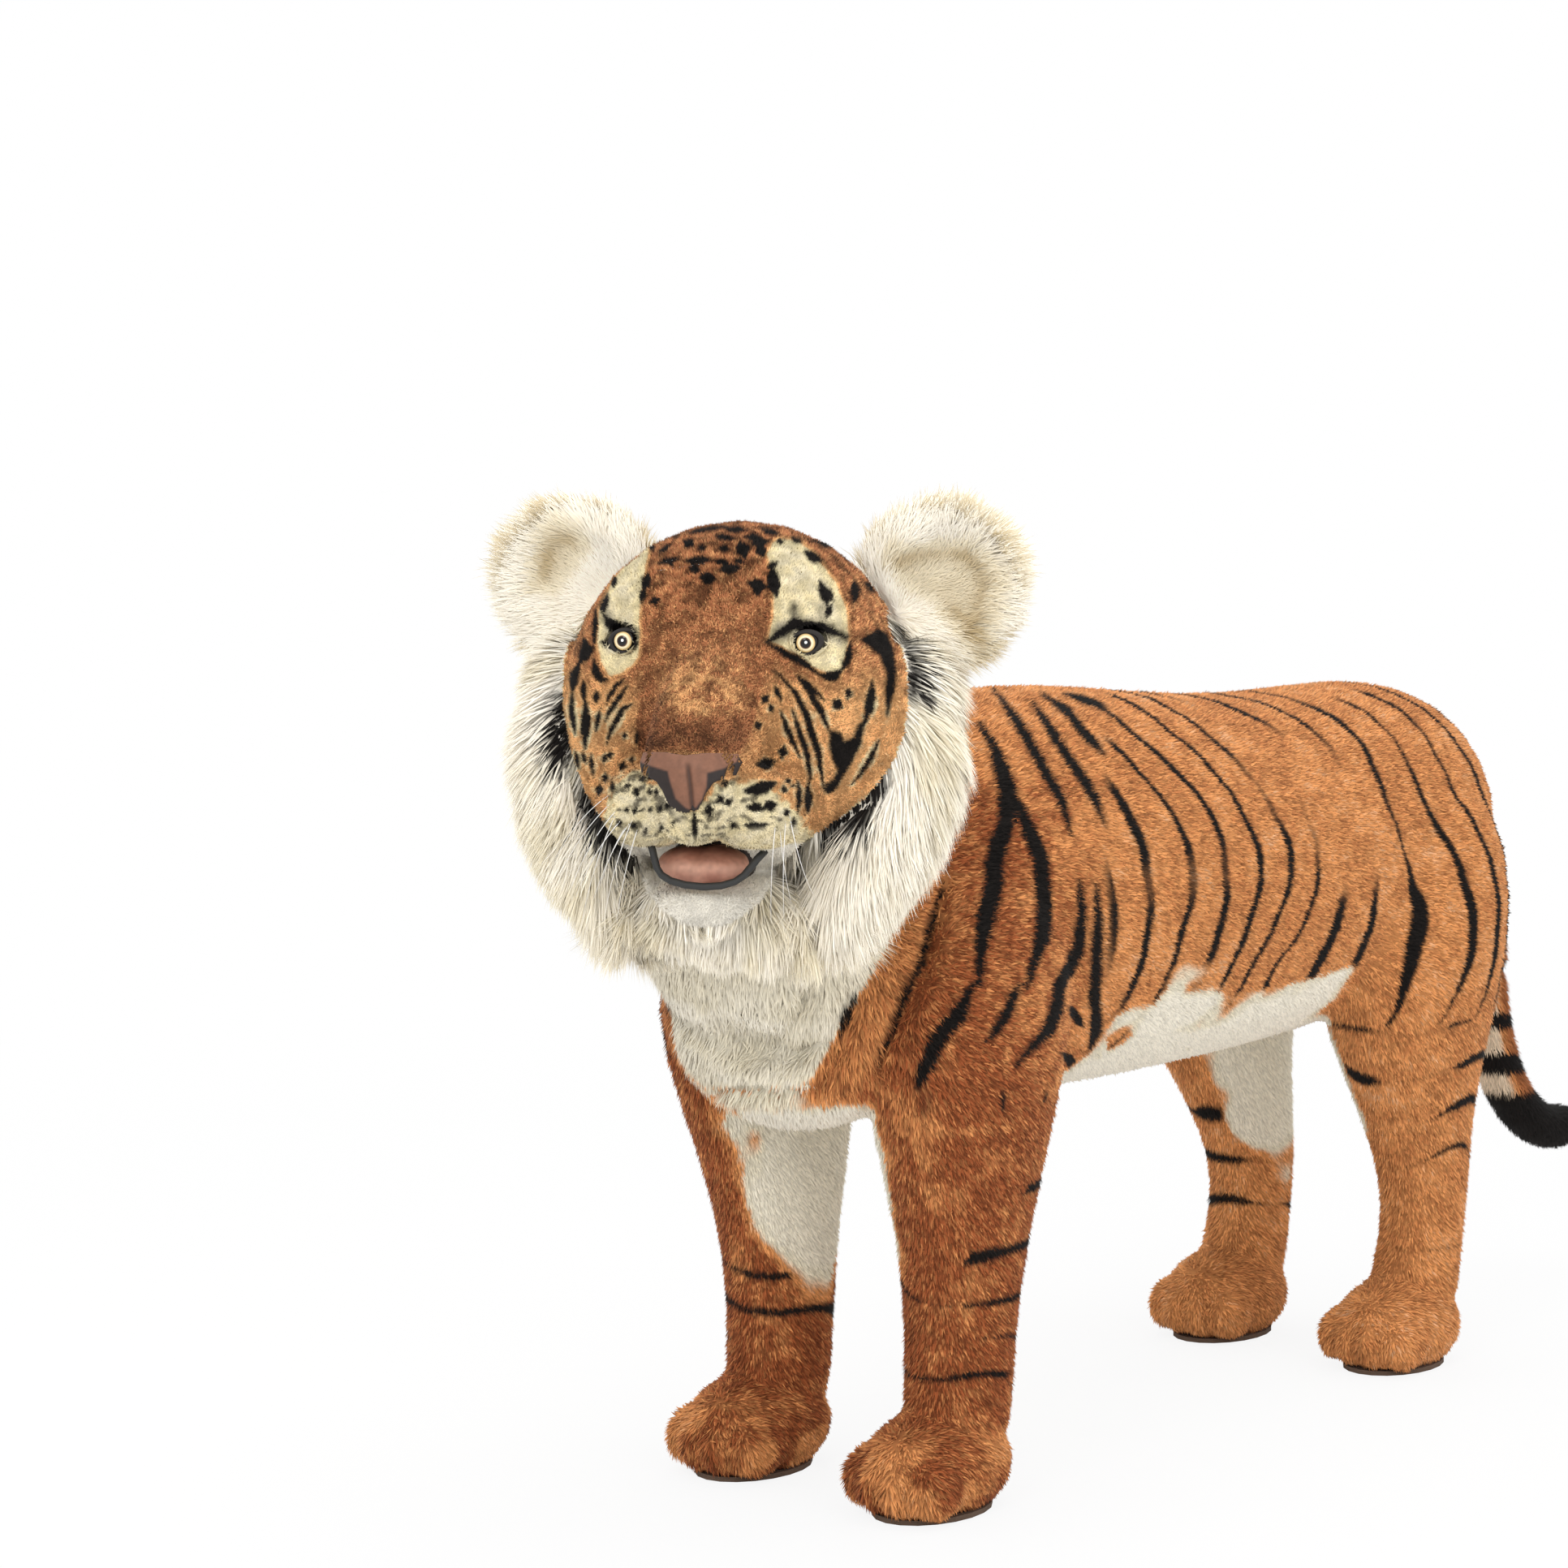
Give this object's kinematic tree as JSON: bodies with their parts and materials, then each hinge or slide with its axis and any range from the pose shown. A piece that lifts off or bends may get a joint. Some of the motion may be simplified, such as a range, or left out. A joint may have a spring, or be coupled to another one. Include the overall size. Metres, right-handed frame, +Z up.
{
  "type": "plush tiger",
  "caption": "Life-size standing plush tiger with a swivelling head, sprung ears, a posable tail and a steel frame inside the stuffed body and legs.",
  "frame": {"origin": "middle of the part's box in plan, at the floor under the soles", "axes": "+Z up, -Y the way the body faces, +X the tiger's left"},
  "size_m": [0.4778, 1.7886, 0.9684],
  "materials": {
    "striped_plush": "matte",
    "white_plush": "matte",
    "long_cream_plush": "matte",
    "dark_felt": "matte",
    "tongue_felt": "matte",
    "nose_leather": "satin",
    "eye_glass": "gloss",
    "sole_suede": "matte",
    "board": "matte",
    "steel": "satin"
  },
  "bodies": {
    "body": {"trunk": "striped_plush", "neck": "white_plush", "spine_tube": "steel", "front_crossbar": "steel", "hind_crossbar": "steel", "neck_post": "steel", "neck_disc": "board", "front_left_leg": "striped_plush", "front_left_paw": "striped_plush", "front_left_sole": "sole_suede", "front_left_leg_rod": "steel", "front_left_foot_plate": "steel", "front_right_leg": "striped_plush", "front_right_paw": "striped_plush", "front_right_sole": "sole_suede", "front_right_leg_rod": "steel", "front_right_foot_plate": "steel", "hind_left_leg": "striped_plush", "hind_left_paw": "striped_plush", "hind_left_sole": "sole_suede", "hind_left_leg_rod": "steel", "hind_left_foot_plate": "steel", "hind_right_leg": "striped_plush", "hind_right_paw": "striped_plush", "hind_right_sole": "sole_suede", "hind_right_leg_rod": "steel", "hind_right_foot_plate": "steel"},
    "head": {"head": "striped_plush", "snout": "striped_plush", "muzzle_left": "white_plush", "muzzle_right": "white_plush", "lower_jaw": "white_plush", "mouth_lining": "dark_felt", "tongue": "tongue_felt", "nose_leather": "nose_leather", "eye_left": "eye_glass", "eye_right": "eye_glass", "eye_washer_left": "steel", "eye_washer_right": "steel", "eyelid_left": "dark_felt", "eyelid_right": "dark_felt", "ruff_left": "long_cream_plush", "ruff_right": "long_cream_plush", "ruff_throat": "long_cream_plush", "head_disc": "board", "swivel_bolt": "steel"},
    "ear_left": {"ear_left": "long_cream_plush"},
    "ear_right": {"ear_right": "long_cream_plush"},
    "tail": {"tail_base": "striped_plush"},
    "tail_end": {"tail_tip": "striped_plush"}
  },
  "joints": [
    {"name": "head_turn", "type": "hinge", "parent": "body", "child": "head", "pos_m": [-0.01924, -0.60172, 0.706], "axis": [0, 0, 1], "range_deg": [-65, 7]},
    {"name": "ear_left_fold", "type": "hinge", "parent": "head", "child": "ear_left", "pos_m": [0.10853, -0.58235, 0.86183], "axis": [-0.5385, -0.2985, 0.788], "range_deg": [-18, 18], "stiffness_Nm_per_rad": 1},
    {"name": "ear_right_fold", "type": "hinge", "parent": "head", "child": "ear_right", "pos_m": [-0.10338, -0.69981, 0.86183], "axis": [0.5385, 0.2985, 0.788], "range_deg": [-18, 18], "stiffness_Nm_per_rad": 1},
    {"name": "tail_lift", "type": "hinge", "parent": "body", "child": "tail", "pos_m": [-0.01924, 0.53027, 0.676], "axis": [1, 0, 0], "range_deg": [-8, 45]},
    {"name": "tail_curl", "type": "hinge", "parent": "tail", "child": "tail_end", "pos_m": [-0.01924, 0.68027, 0.421], "axis": [1, 0, 0], "range_deg": [-30, 40]}
  ]
}
